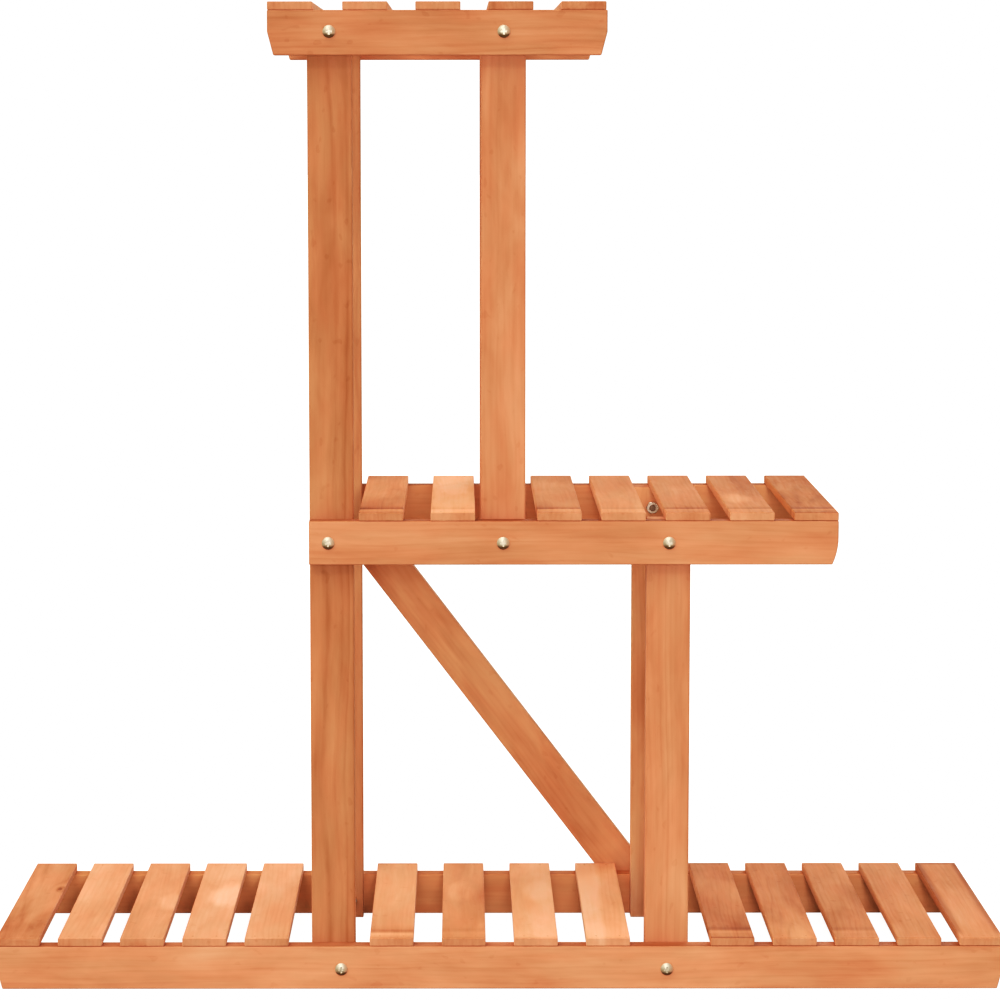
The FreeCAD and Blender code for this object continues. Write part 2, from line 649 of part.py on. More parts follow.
def expect(name, low, high):
    """The piece's box must be where the dimensions put it."""
    obj = [o for o, n in parts if n == name][0]
    b = obj.Shape.optimalBoundingBox(False)
    got = (b.XMin, b.YMin, b.ZMin, b.XMax, b.YMax, b.ZMax)
    want = tuple(low) + tuple(high)
    for g, w in zip(got, want):
        if abs(g - w) > 0.06:
            raise RuntimeError("%s is at %s, not %s" % (name, got, want))


yf, yr, half_x = value_of(Y_FRONT), value_of(Y_REAR), D["base_length"] / 2.0
expect("front_bottom_rail", (-half_x, yf, 0), (half_x, yf + 14, 37))
expect("rear_middle_rail", (267.1 - half_x, yr - 14, 363), (709.5 - half_x, yr, 400))
expect("front_left_post", (267.1 - half_x, yf + 14, 0), (304.1 - half_x, yf + 28, 823))
expect("top_slat_1", (235.3 - half_x, yf, 823), (272.4 - half_x, yr, 830))

# Holes really cut: volumes are close to board less holes.
for obj, name in parts:
    if name == "bottom_slat_01":
        full = 37.1 * 250.0 * 7.0
        lost = full - obj.Shape.Volume
        if not 40.0 < lost < 600.0:
            raise RuntimeError("slat pins' holes are missing: %s" % lost)
    if name == "front_bottom_rail":
        board = [o for o in doc.Objects if o.Name == name + "_eased_edges"][0].Shape.Volume
        holes = board - obj.Shape.Volume
        want = 2 * math.pi * 3.25 ** 2 * 14 + 28 * math.pi * 0.7 ** 2 * 13
        if abs(holes - want) > 25.0:
            raise RuntimeError("rail holes differ: %s, want %s" % (holes, want))

os.makedirs("parts", exist_ok=True)
for obj, name in parts:
    obj.Shape.exportStep("parts/%s.step" % name)
print("%d nodes, box %.1f x %.1f x %.1f mm, from (%.1f, %.1f, %.1f)" % (
    len(parts), total.XLength, total.YLength, total.ZLength, total.XMin, total.YMin, total.ZMin))
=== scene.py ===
import bpy
import math
import random
from mathutils import Matrix, Vector


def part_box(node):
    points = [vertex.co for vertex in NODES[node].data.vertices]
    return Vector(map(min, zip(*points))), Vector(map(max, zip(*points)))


# A three-tier slatted plant stand of stained fir, in a bright plain studio.
# Metres, +Z up, +X to the right seen from the front, -Y towards the front.

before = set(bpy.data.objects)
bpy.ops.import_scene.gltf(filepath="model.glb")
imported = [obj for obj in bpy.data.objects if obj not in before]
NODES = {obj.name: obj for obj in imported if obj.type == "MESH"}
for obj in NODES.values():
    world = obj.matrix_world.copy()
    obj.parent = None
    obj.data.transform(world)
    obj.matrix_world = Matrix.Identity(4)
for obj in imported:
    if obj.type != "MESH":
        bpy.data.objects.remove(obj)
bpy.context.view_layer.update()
scene = bpy.context.scene


# ------------------------------------------------------------------- camera
# Low and nearly level in front of the stand, with a long lens.
def make_camera():
    pitch, yaw, roll = math.radians(5.671), math.radians(-0.013), math.radians(-0.046)
    forward = Vector((math.sin(yaw) * math.cos(pitch), math.cos(yaw) * math.cos(pitch), -math.sin(pitch)))
    right = Vector((math.cos(yaw), -math.sin(yaw), 0.0))
    up = right.cross(forward)
    right, up = (math.cos(roll) * right + math.sin(roll) * up,
                 -math.sin(roll) * right + math.cos(roll) * up)
    data = bpy.data.cameras.new("camera")
    cam = bpy.data.objects.new("camera", data)
    scene.collection.objects.link(cam)
    m = Matrix((right, up, -forward)).transposed().to_4x4()
    m.translation = Vector((-0.0326, -2.5711, 0.7437))
    cam.matrix_world = m
    data.sensor_fit = "HORIZONTAL"
    data.sensor_width = 36.0
    data.lens = 2951.2 * 36.0 / 1000.0
    data.shift_x = 0.040
    data.shift_y = -0.100
    data.clip_start, data.clip_end = 0.05, 50.0
    scene.camera = cam
    return cam


camera = make_camera()


# ------------------------------------------------------- node-building helper
class Tree:
    """Short calls for building shader nodes."""

    def __init__(self, tree):
        self.t = tree
        self.n = 0

    def add(self, kind, **props):
        node = self.t.nodes.new(kind)
        self.n += 1
        node.location = (220 * (self.n % 12), -260 * (self.n // 12))
        for k, v in props.items():
            setattr(node, k, v)
        return node

    def put(self, socket, value):
        if value is None:
            return
        if isinstance(value, bpy.types.NodeSocket):
            self.t.links.new(value, socket)
        else:
            socket.default_value = value

    def math(self, op, a, b=None, c=None, clamp=False):
        node = self.add("ShaderNodeMath", operation=op, use_clamp=clamp)
        for s, v in zip(node.inputs, (a, b, c)):
            self.put(s, v)
        return node.outputs[0]

    def vec(self, op, a, b=None, scale=None):
        node = self.add("ShaderNodeVectorMath", operation=op)
        self.put(node.inputs[0], a)
        if b is not None:
            self.put(node.inputs[1], b)
        if scale is not None:
            self.put(node.inputs["Scale"], scale)
        return node.outputs["Value"] if op in ("DOT_PRODUCT", "LENGTH", "DISTANCE") else node.outputs["Vector"]

    def split(self, v):
        node = self.add("ShaderNodeSeparateXYZ")
        self.put(node.inputs[0], v)
        return node.outputs[0], node.outputs[1], node.outputs[2]

    def join(self, x, y, z):
        node = self.add("ShaderNodeCombineXYZ")
        for s, v in zip(node.inputs, (x, y, z)):
            self.put(s, v)
        return node.outputs[0]

    def noise(self, v, seed, scale=1.0, detail=2.0, rough=0.5, distort=0.0, colour=False):
        node = self.add("ShaderNodeTexNoise", noise_dimensions="4D")
        self.put(node.inputs["Vector"], v)
        self.put(node.inputs["W"], seed)
        self.put(node.inputs["Scale"], scale)
        self.put(node.inputs["Detail"], detail)
        self.put(node.inputs["Roughness"], rough)
        self.put(node.inputs["Distortion"], distort)
        return node.outputs["Color"] if colour else node.outputs["Fac"]

    def span(self, v, a, b, c=0.0, d=1.0, smooth=True):
        """Map a..b onto c..d, clamped."""
        node = self.add("ShaderNodeMapRange", interpolation_type="SMOOTHSTEP" if smooth else "LINEAR", clamp=True)
        for name, x in (("Value", v), ("From Min", a), ("From Max", b), ("To Min", c), ("To Max", d)):
            self.put(node.inputs[name], x)
        return node.outputs["Result"]

    def ramp(self, v, stops, mode="LINEAR"):
        node = self.add("ShaderNodeValToRGB")
        node.color_ramp.interpolation = mode
        e = node.color_ramp.elements
        while len(e) > 2:
            e.remove(e[-1])
        e[0].position, e[0].color = stops[0][0], stops[0][1]
        e[1].position, e[1].color = stops[-1][0], stops[-1][1]
        for p, c in stops[1:-1]:
            x = e.new(p)
            x.color = c
        self.put(node.inputs[0], v)
        return node.outputs["Color"]

    def mix(self, f, a, b, mode="MIX"):
        node = self.add("ShaderNodeMix", data_type="RGBA", blend_type=mode)
        node.clamp_factor = True
        self.put(node.inputs[0], f)
        self.put(node.inputs[6], a)
        self.put(node.inputs[7], b)
        return node.outputs[2]


def grey(v):
    return (v, v, v, 1.0)


# ------------------------------------------------------------ stained fir wood
# A solid texture: growth rings round a pith line beside or behind each board,
# fibres along the grain, stain that takes unevenly, darker thirsty end grain
# and thin worn stain along the eased edges. Board space is in millimetres:
# a along the grain, b across the width, c through the thickness.
def fir_group():
    g = bpy.data.node_groups.new("stained_fir", "ShaderNodeTree")
    sock = g.interface.new_socket

    def inp(name, kind, default):
        s = sock(name=name, in_out="INPUT", socket_type=kind)
        s.default_value = default

    V3 = "NodeSocketVector"
    F = "NodeSocketFloat"
    for name, default in (("Centre", (0, 0, 0)), ("Along", (1, 0, 0)), ("Across", (0, 0, 1)), ("Through", (0, 1, 0)),
                          ("Half", (100, 18, 7)), ("Pith", (0, 60, 20)), ("Tilt", (0, 0, 0)), ("Knot", (0, 0, 0)),
                          ("Patch", (0, 0, 10)), ("Cast", (1, 1, 1))):
        inp(name, V3, default)
    for name, default in (("Seed", 0.0), ("Ring", 4.0), ("Grain", 1.0), ("Fibre", 1.0), ("Mottle", 1.0), ("Tone", 0.0),
                          ("Knot radius", 0.0), ("Sap edge", 900.0), ("Sap", 0.0), ("Mark at", 0.0), ("Mark", 0.0),
                          ("Rim", 0.0), ("Tip", 0.0), ("Side", 0.0), ("Pale", 0.0), ("End", 0.0)):
        inp(name, F, default)
    sock(name="Color", in_out="OUTPUT", socket_type="NodeSocketColor")
    sock(name="Roughness", in_out="OUTPUT", socket_type=F)
    sock(name="Height", in_out="OUTPUT", socket_type=F)

    T = Tree(g)
    gi = T.add("NodeGroupInput").outputs
    go = T.add("NodeGroupOutput").inputs
    coord = T.add("ShaderNodeTexCoord").outputs

    # board space
    rel = T.vec("SUBTRACT", coord["Object"], gi["Centre"])
    a = T.math("MULTIPLY", T.vec("DOT_PRODUCT", rel, gi["Along"]), 1000.0)
    b = T.math("MULTIPLY", T.vec("DOT_PRODUCT", rel, gi["Across"]), 1000.0)
    c = T.math("MULTIPLY", T.vec("DOT_PRODUCT", rel, gi["Through"]), 1000.0)
    abc = T.join(a, b, c)
    seed = gi["Seed"]

    # how far the surface faces along the grain: 1 on end grain
    facing = T.math("ABSOLUTE", T.vec("DOT_PRODUCT", coord["Normal"], gi["Along"]))
    end = T.span(facing, 0.45, 0.8)

    # distance to the nearest edge of the board: the middle one of three
    hx, hy, hz = T.split(gi["Half"])
    da = T.math("SUBTRACT", hx, T.math("ABSOLUTE", a))
    db = T.math("SUBTRACT", hy, T.math("ABSOLUTE", b))
    dc = T.math("SUBTRACT", hz, T.math("ABSOLUTE", c))
    low, high = T.math("MINIMUM", da, db), T.math("MAXIMUM", da, db)
    edge = T.math("MAXIMUM", low, T.math("MINIMUM", high, dc))

    # the grain wanders slowly, and trembles a little
    w1 = T.noise(T.vec("MULTIPLY", abc, (1 / 210.0, 1 / 60.0, 1 / 60.0)), seed, detail=1.0, colour=True)
    w2 = T.noise(T.vec("MULTIPLY", abc, (1 / 38.0, 1 / 13.0, 1 / 13.0)), seed, detail=1.0, colour=True)
    sway = T.vec("ADD", T.vec("MULTIPLY", T.vec("SUBTRACT", w1, (0.5, 0.5, 0.5)), (0, 17.0, 17.0)),
                 T.vec("MULTIPLY", T.vec("SUBTRACT", w2, (0.5, 0.5, 0.5)), (0, 2.6, 2.6)))
    pos = T.vec("ADD", abc, sway)
    lean = T.vec("ADD", gi["Pith"], T.vec("SCALE", gi["Tilt"], scale=a))
    q = T.vec("SUBTRACT", pos, lean)
    r = T.vec("LENGTH", T.vec("MULTIPLY", q, (0, 1, 1)))

    # a knot bends the rings round itself
    kd = T.vec("SUBTRACT", abc, gi["Knot"])
    kq = T.vec("LENGTH", T.vec("MULTIPLY", kd, (0.42, 1.0, 0.3)))
    kr = T.math("MAXIMUM", gi["Knot radius"], 0.01)
    kn = T.math("DIVIDE", kq, kr)
    kbend = T.math("POWER", 2.718, T.math("MULTIPLY", T.math("MULTIPLY", kn, kn), -1.0))
    kon = T.span(gi["Knot radius"], 0.0, 0.5)
    r = T.math("ADD", r, T.math("MULTIPLY", T.math("MULTIPLY", kbend, kon), T.math("MULTIPLY", gi["Knot radius"], 1.1)))

    # growth rings: pale early wood darkening into a thin late-wood line
    slow = T.noise(T.join(T.math("MULTIPLY", r, 1 / 19.0), T.math("MULTIPLY", a, 1 / 900.0), 0.0), seed, detail=1.0)
    phase = T.math("ADD", T.math("DIVIDE", r, gi["Ring"]), T.math("MULTIPLY", slow, 2.2))
    saw = T.math("FRACT", phase)
    late = T.ramp(saw, [(0.0, grey(0.52)), (0.14, grey(0.10)), (0.42, grey(0.06)), (0.68, grey(0.34)),
                        (0.87, grey(0.92)), (1.0, grey(0.56))], "EASE")
    year = T.noise(T.join(T.math("FLOOR", phase), 3.7, 0.0), seed, scale=1.7, detail=0.0)
    late = T.math("MULTIPLY", late, T.span(year, 0.25, 0.75, 0.35, 1.25, smooth=False))
    along_fade = T.noise(T.vec("MULTIPLY", abc, (1 / 120.0, 1 / 9.0, 1 / 9.0)), seed, detail=2.0)
    late = T.math("MULTIPLY", late, T.span(along_fade, 0.30, 0.68, 0.35, 1.2))

    # fibres and stain streaks
    fine = T.noise(T.vec("MULTIPLY", pos, (1 / 26.0, 1 / 0.62, 1 / 0.62)), seed, detail=2.0, rough=0.6)
    mid = T.noise(T.vec("MULTIPLY", pos, (1 / 48.0, 1 / 2.3, 1 / 2.3)), seed, detail=3.0, rough=0.55)
    dash = T.span(T.noise(T.vec("MULTIPLY", pos, (1 / 17.0, 1 / 1.15, 1 / 1.15)), seed, detail=1.0), 0.60, 0.78)
    # blotches where the stain takes unevenly
    blot = T.noise(T.vec("MULTIPLY", abc, (1 / 95.0, 1 / 30.0, 1 / 30.0)), seed, detail=3.0, rough=0.55, distort=0.4)
    wide = T.noise(T.vec("MULTIPLY", abc, (1 / 330.0, 1 / 90.0, 1 / 90.0)), seed, detail=1.0)

    # one number for how dark the stained wood is
    dark = T.math("MULTIPLY", T.math("SUBTRACT", late, 0.34), T.math("MULTIPLY", gi["Grain"], 0.20))
    dark = T.math("MULTIPLY", dark, T.math("SUBTRACT", 1.0, T.math("MULTIPLY", end, 0.55)))
    soft = T.noise(T.vec("MULTIPLY", pos, (1 / 150.0, 1 / 5.2, 1 / 5.2)), seed, detail=1.0)
    fib = T.math("ADD", T.math("MULTIPLY", T.math("SUBTRACT", mid, 0.5), 0.42),
                 T.math("MULTIPLY", T.math("SUBTRACT", fine, 0.5), 0.20))
    fib = T.math("ADD", fib, T.math("MULTIPLY", T.math("SUBTRACT", soft, 0.5), 0.62))
    fib = T.math("ADD", fib, T.math("MULTIPLY", dash, 0.07))
    fib = T.math("MULTIPLY", fib, T.math("MULTIPLY", gi["Fibre"], T.math("SUBTRACT", 1.0, T.math("MULTIPLY", end, 0.75))))
    dark = T.math("ADD", dark, fib)
    mot = T.math("ADD", T.math("MULTIPLY", T.math("SUBTRACT", blot, 0.5), 1.15),
                 T.math("MULTIPLY", T.math("SUBTRACT", wide, 0.5), 0.9))
    dark = T.math("ADD", dark, T.math("MULTIPLY", mot, gi["Mottle"]))
    # pale sapwood beyond one ring
    sapness = T.math("MULTIPLY", T.span(T.math("SUBTRACT", r, gi["Sap edge"]), -3.0, 3.0), gi["Sap"])
    dark = T.math("SUBTRACT", dark, sapness)
    # one paler cloud where less stain took
    px, py, pr = T.split(gi["Patch"])
    du = T.math("DIVIDE", T.math("SUBTRACT", a, px), T.math("MULTIPLY", pr, 2.6))
    dv = T.math("DIVIDE", T.math("SUBTRACT", b, py), pr)
    dd = T.math("ADD", T.math("MULTIPLY", du, du), T.math("MULTIPLY", dv, dv))
    dd = T.math("ADD", dd, T.math("MULTIPLY", T.math("SUBTRACT", blot, 0.5), 1.6))
    dark = T.math("SUBTRACT", dark, T.math("MULTIPLY", T.span(dd, 1.25, 0.1), gi["Pale"]))
    dark = T.math("SUBTRACT", dark, T.math("MULTIPLY", gi["Tone"], T.math("SUBTRACT", 1.0, T.math("MULTIPLY", end, 0.85))))
    # knot core
    core = T.math("MULTIPLY", T.span(kn, 0.34, 0.20), kon)
    core = T.math("MULTIPLY", core, T.span(T.noise(T.vec("MULTIPLY", kd, (0.35, 0.9, 0.9)), seed, detail=2.0), 0.2, 0.8, 0.6, 1.0))
    halo = T.math("MULTIPLY", T.math("MULTIPLY", T.span(kn, 0.95, 0.30), kon), 0.16)
    dark = T.math("ADD", dark, T.math("ADD", T.math("MULTIPLY", core, 0.75), halo))
    # faint darker line across the board near one end, a little darker just behind it, with a paler strip in front of it
    mk = T.math("SUBTRACT", a, gi["Mark at"])
    mk = T.math("ADD", mk, T.math("MULTIPLY", T.math("SUBTRACT", blot, 0.5), 2.4))
    line = T.span(T.math("ABSOLUTE", mk), 9.0, 0.0)
    behind = T.math("MULTIPLY", T.span(mk, 22.0, 4.0), T.span(mk, -5.0, 4.0))
    front = T.math("MULTIPLY", T.span(mk, -16.0, -9.0), T.span(mk, -2.0, -8.0))
    mark = T.math("ADD", T.math("MULTIPLY", line, 0.20), T.math("MULTIPLY", behind, 0.10))
    mark = T.math("SUBTRACT", mark, T.math("MULTIPLY", front, 0.12))
    dark = T.math("ADD", dark, T.math("MULTIPLY", T.math("MULTIPLY", mark, gi["Mark"]),
                                     T.math("SUBTRACT", 1.0, end)))
    # darker along the rim of the board, save near one end, and darker near both ends
    ragged = T.math("MULTIPLY", T.math("SUBTRACT", blot, 0.5), 9.0)
    rim = T.span(T.math("ADD", edge, ragged), 8.5, 1.0)
    rim = T.math("MULTIPLY", rim, T.span(T.math("ADD", a, hx), 5.0, 24.0))
    dark = T.math("ADD", dark, T.math("MULTIPLY", rim, gi["Rim"]))
    tip = T.span(T.math("ADD", da, T.math("MULTIPLY", T.math("SUBTRACT", mid, 0.5), 9.0)), 7.0, 0.0)
    dark = T.math("ADD", dark, T.math("MULTIPLY", T.math("MULTIPLY", tip, gi["Tip"]), T.math("SUBTRACT", 1.0, end)))
    # end grain drinks more stain
    endn = T.noise(T.vec("MULTIPLY", abc, (0.05, 1 / 2.6, 1 / 9.0)), seed, detail=2.0)
    dark = T.math("ADD", dark, T.math("MULTIPLY", end, T.math("ADD", T.span(endn, 0.25, 0.75, 0.08, 0.16), gi["End"])))
    # faces turned across the board's width are made lighter or darker by Side: painted light on the flanks of slats and
    # posts, painted shade on the top and bottom faces of the rails
    side_face_painted_light = T.span(T.math("ABSOLUTE", T.vec("DOT_PRODUCT", coord["Normal"], gi["Across"])), 0.55, 0.9)
    dark = T.math("ADD", dark, T.math("MULTIPLY", side_face_painted_light, gi["Side"]))
    # worn and broken stain along the eased edges
    chip = T.noise(T.vec("MULTIPLY", abc, (1 / 14.0, 1 / 2.2, 1 / 2.2)), seed, detail=3.0, rough=0.65)
    worn = T.math("MULTIPLY", T.span(edge, 1.25, 0.35), T.span(chip, 0.44, 0.66))
    dark = T.math("SUBTRACT", dark, T.math("MULTIPLY", worn, 0.10))
    # a thin darker line right along the edges
    dark = T.math("ADD", dark, T.math("MULTIPLY", T.span(edge, 1.5, 0.5), 0.05))
    # small dents in the face
    dent = T.noise(T.vec("MULTIPLY", abc, (1 / 9.0, 1 / 6.0, 1 / 6.0)), seed, detail=0.0)
    dent = T.span(dent, 0.72, 0.80)
    dark = T.math("ADD", dark, T.math("MULTIPLY", dent, 0.05))

    tone = T.math("ADD", dark, 0.42, clamp=True)
    col = T.ramp(tone, [(0.0, (0.830, 0.420, 0.287, 1)), (0.22, (0.752, 0.338, 0.210, 1)), (0.42, (0.645, 0.262, 0.152, 1)),
                        (0.62, (0.526, 0.195, 0.105, 1)), (0.82, (0.386, 0.130, 0.059, 1)), (1.0, (0.256, 0.074, 0.028, 1))])
    # the stain leans redder or yellower from place to place
    hue = T.noise(T.vec("MULTIPLY", abc, (1 / 60.0, 1 / 16.0, 1 / 16.0)), T.math("ADD", seed, 7.3), detail=2.0)
    warm = T.mix(T.span(hue, 0.28, 0.72), (1.024, 0.965, 0.935, 1), (0.984, 1.030, 1.010, 1))
    col = T.mix(1.0, col, warm, "MULTIPLY")
    col = T.mix(1.0, col, T.mix(end, gi["Cast"], (0.93, 1.0, 1.07, 1)), "MULTIPLY")
    T.put(go["Color"], col)

    rough = T.math("ADD", 0.56, T.math("MULTIPLY", T.math("SUBTRACT", mid, 0.5), 0.30))
    rough = T.math("ADD", rough, T.math("MULTIPLY", T.math("SUBTRACT", blot, 0.5), 0.22))
    rough = T.math("ADD", rough, T.math("MULTIPLY", end, 0.20))
    rough = T.math("ADD", rough, T.math("MULTIPLY", core, -0.12))
    rough = T.math("ADD", rough, T.math("MULTIPLY", worn, 0.10), clamp=True)
    T.put(go["Roughness"], rough)

    height = T.math("MULTIPLY", T.math("SUBTRACT", 1.0, late), -0.30)
    height = T.math("ADD", height, T.math("MULTIPLY", fine, 0.45))
    height = T.math("ADD", height, T.math("MULTIPLY", mid, 0.55))
    height = T.math("SUBTRACT", height, T.math("MULTIPLY", dash, 0.30))
    height = T.math("SUBTRACT", height, T.math("MULTIPLY", dent, 1.4))
    height = T.math("ADD", height, T.math("MULTIPLY", T.math("MULTIPLY", chip, T.span(edge, 2.2, 0.2)), 1.3))
    T.put(go["Height"], height)
    return g


FIR = fir_group()


def fir_material(name, slot_name, **values):
    m = bpy.data.materials.new(name)
    m.use_nodes = True
    t = m.node_tree
    t.nodes.clear()
    T = Tree(t)
    out = T.add("ShaderNodeOutputMaterial")
    bsdf = T.add("ShaderNodeBsdfPrincipled")
    grp = T.add("ShaderNodeGroup")
    grp.node_tree = FIR
    for k, v in values.items():
        grp.inputs[k.replace("_", " ")].default_value = v
    t.links.new(grp.outputs["Color"], bsdf.inputs["Base Color"])
    t.links.new(grp.outputs["Roughness"], bsdf.inputs["Roughness"])
    bump = T.add("ShaderNodeBump")
    bump.inputs["Strength"].default_value = 0.32
    bump.inputs["Distance"].default_value = 0.00012
    t.links.new(grp.outputs["Height"], bump.inputs["Height"])
    t.links.new(bump.outputs["Normal"], bsdf.inputs["Normal"])
    bsdf.inputs["IOR"].default_value = 1.45
    bsdf.inputs["Specular IOR Level"].default_value = 0.10
    t.links.new(bsdf.outputs["BSDF"], out.inputs["Surface"])
    return m


# How each board was sawn: where the pith lay, how the grain leans, ring width,
# contrast, overall tone, and the marks it carries.
# Side values and some Tone values are painted light and shade, as noted where they are set.
X, Y, Z = Vector((1, 0, 0)), Vector((0, 1, 0)), Vector((0, 0, 1))
rng = random.Random(20417)


def board(node, slot_name, along, across, through, half=None, **kw):
    lo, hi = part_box(node)
    centre = (lo + hi) / 2
    size = (hi - lo) / 2 * 1000
    if half is None:
        half = (abs(along.dot(size)), abs(across.dot(size)), abs(through.dot(size)))
    spec = dict(Seed=rng.uniform(0, 90), Pith=(0, rng.choice((-1, 1)) * rng.uniform(50, 110), rng.uniform(-30, 30)),
                Tilt=(0, rng.uniform(-0.02, 0.02), rng.uniform(-0.02, 0.02)), Ring=rng.uniform(3.4, 5.2),
                Grain=1.0, Fibre=0.18, Mottle=0.5, Tone=0.0)
    spec.update(kw)
    m = fir_material(node + "_fir", slot_name, Centre=tuple(centre), Along=tuple(along), Across=tuple(across),
                     Through=tuple(through), Half=tuple(half), **spec)
    NODES[node].data.materials.clear()
    NODES[node].data.materials.append(m)


# rails: straight grain, quarter sawn
# Side darkens the top and bottom faces of the rails that have it: painted shade.
board("front_bottom_rail", "rail_fir", X, Z, Y, Seed=11.2, Pith=(0, -140, 40), Tilt=(0, 0.012, 0.0), Ring=4.8, Grain=0.28,
      Fibre=0.3, Mottle=0.62, Tone=-0.066, Side=0.36, Cast=(0.97, 1.0, 1.04))
board("front_middle_rail", "rail_fir", X, Z, Y, Seed=23.9, Pith=(0, -120, -50), Tilt=(0, -0.008, 0.0), Ring=4.6, Grain=0.26,
      Fibre=0.26, Mottle=0.44, Tone=-0.120, Side=0.32, Cast=(0.96, 1.0, 1.05))
board("front_top_rail", "rail_fir", X, Z, Y, Seed=37.4, Pith=(0, 95, -60), Tilt=(0, 0.010, 0.0), Ring=5.0, Grain=0.26,
      Fibre=0.3, Mottle=0.46, Tone=-0.159, Cast=(0.955, 1.0, 1.05))
# The rear bottom and middle rails' lighter Tone is partly their own and partly painted light, offsetting the shade they
# stand in.
board("rear_bottom_rail", "rail_fir", X, Z, Y, Seed=41.1, Pith=(0, 130, 20), Tilt=(0, 0.010, 0.0), Ring=4.4, Grain=0.2, Fibre=0.2, Mottle=0.4, Tone=0.038, Side=0.34, Cast=(1.0, 1.02, 0.90))
board("rear_middle_rail", "rail_fir", X, Z, Y, Seed=52.6, Pith=(0, 110, -30), Tilt=(0, -0.012, 0.0), Ring=4.8, Grain=0.2,
      Fibre=0.2, Mottle=0.4, Tone=-0.038, Side=0.34, Cast=(0.95, 1.01, 0.96))
board("rear_top_rail", "rail_fir", X, Z, Y, Seed=63.3, Pith=(0, -90, 40), Tilt=(0, 0.008, 0.0), Ring=4.3, Grain=0.5,
      Fibre=0.4, Mottle=0.4, Tone=0.0, Side=0.34)

# posts: the left ones flat sawn with tall arches, the others straighter
# Side, where given, lightens the posts' flanks: painted light.
board("front_left_post", "post_fir", Z, X, Y, Seed=4.7, Pith=(0, -13.0, 9.0), Tilt=(0, 0.004, 0.006), Ring=8.0, Grain=0.5,
      Fibre=0.22, Mottle=0.38, Tone=-0.332, Cast=(0.94, 1.02, 1.04), Side=-0.3)
# The rear left post's lighter Tone is partly its own and partly painted light, offsetting the shade behind the front
# post.
board("rear_left_post", "post_fir", Z, X, Y, Seed=15.5, Pith=(0, 5.0, -30.0), Tilt=(0, -0.010, 0.018), Ring=6.4, Grain=0.5,
      Fibre=0.35, Mottle=0.4, Tone=-0.182, Cast=(0.89, 0.99, 0.98), Side=-0.3)
board("front_upper_post", "post_fir", Z, X, Y, Seed=72.8, Pith=(0, 70, 60), Tilt=(0, 0.01, 0.0), Ring=4.8, Grain=0.2,
      Fibre=0.18, Mottle=0.55, Tone=-0.148, Side=-0.2, Cast=(0.975, 1.0, 1.05))
board("rear_upper_post", "post_fir", Z, X, Y, Seed=81.9, Pith=(0, -60, 40), Tilt=(0, 0.015, 0.0), Ring=4.4, Grain=0.5,
      Fibre=0.4, Mottle=0.4, Tone=0.0)
board("front_lower_post", "post_fir", Z, X, Y, Seed=33.3, Pith=(0, 90, -20), Tilt=(0, -0.006, 0.0), Ring=4.4, Grain=0.26,
      Fibre=0.24, Mottle=0.52, Tone=-0.148, Side=-0.2, Cast=(0.97, 1.0, 1.04))
# The rear lower post's lighter Tone is partly its own and partly painted light, offsetting the shade behind the front
# post.
board("rear_lower_post", "post_fir", Z, X, Y, Seed=44.4, Pith=(0, 80, 20), Tilt=(0, 0.010, 0.0), Ring=4.5, Grain=0.4,
      Fibre=0.2, Mottle=0.7, Tone=0.179, Cast=(0.98, 1.02, 0.97), Side=-0.2)

# diagonal brace: its own axes
b_top = Vector((-0.1433, 0.0, 0.3814))
b_low = Vector((0.1340, 0.0, 0.0172))
b_along = (b_low - b_top).normalized()
b_across = Vector((-b_along.z, 0.0, b_along.x))
board("rear_diagonal_brace", "brace_fir", b_along, b_across, Y, half=(400.0, 18.0, 7.0), Seed=58.2, Pith=(0, 75, 30),
      Tilt=(0, 0.012, 0.0), Ring=4.8, Grain=0.25, Fibre=0.2, Mottle=0.85, Tone=-0.121, Cast=(0.92, 0.99, 0.95))

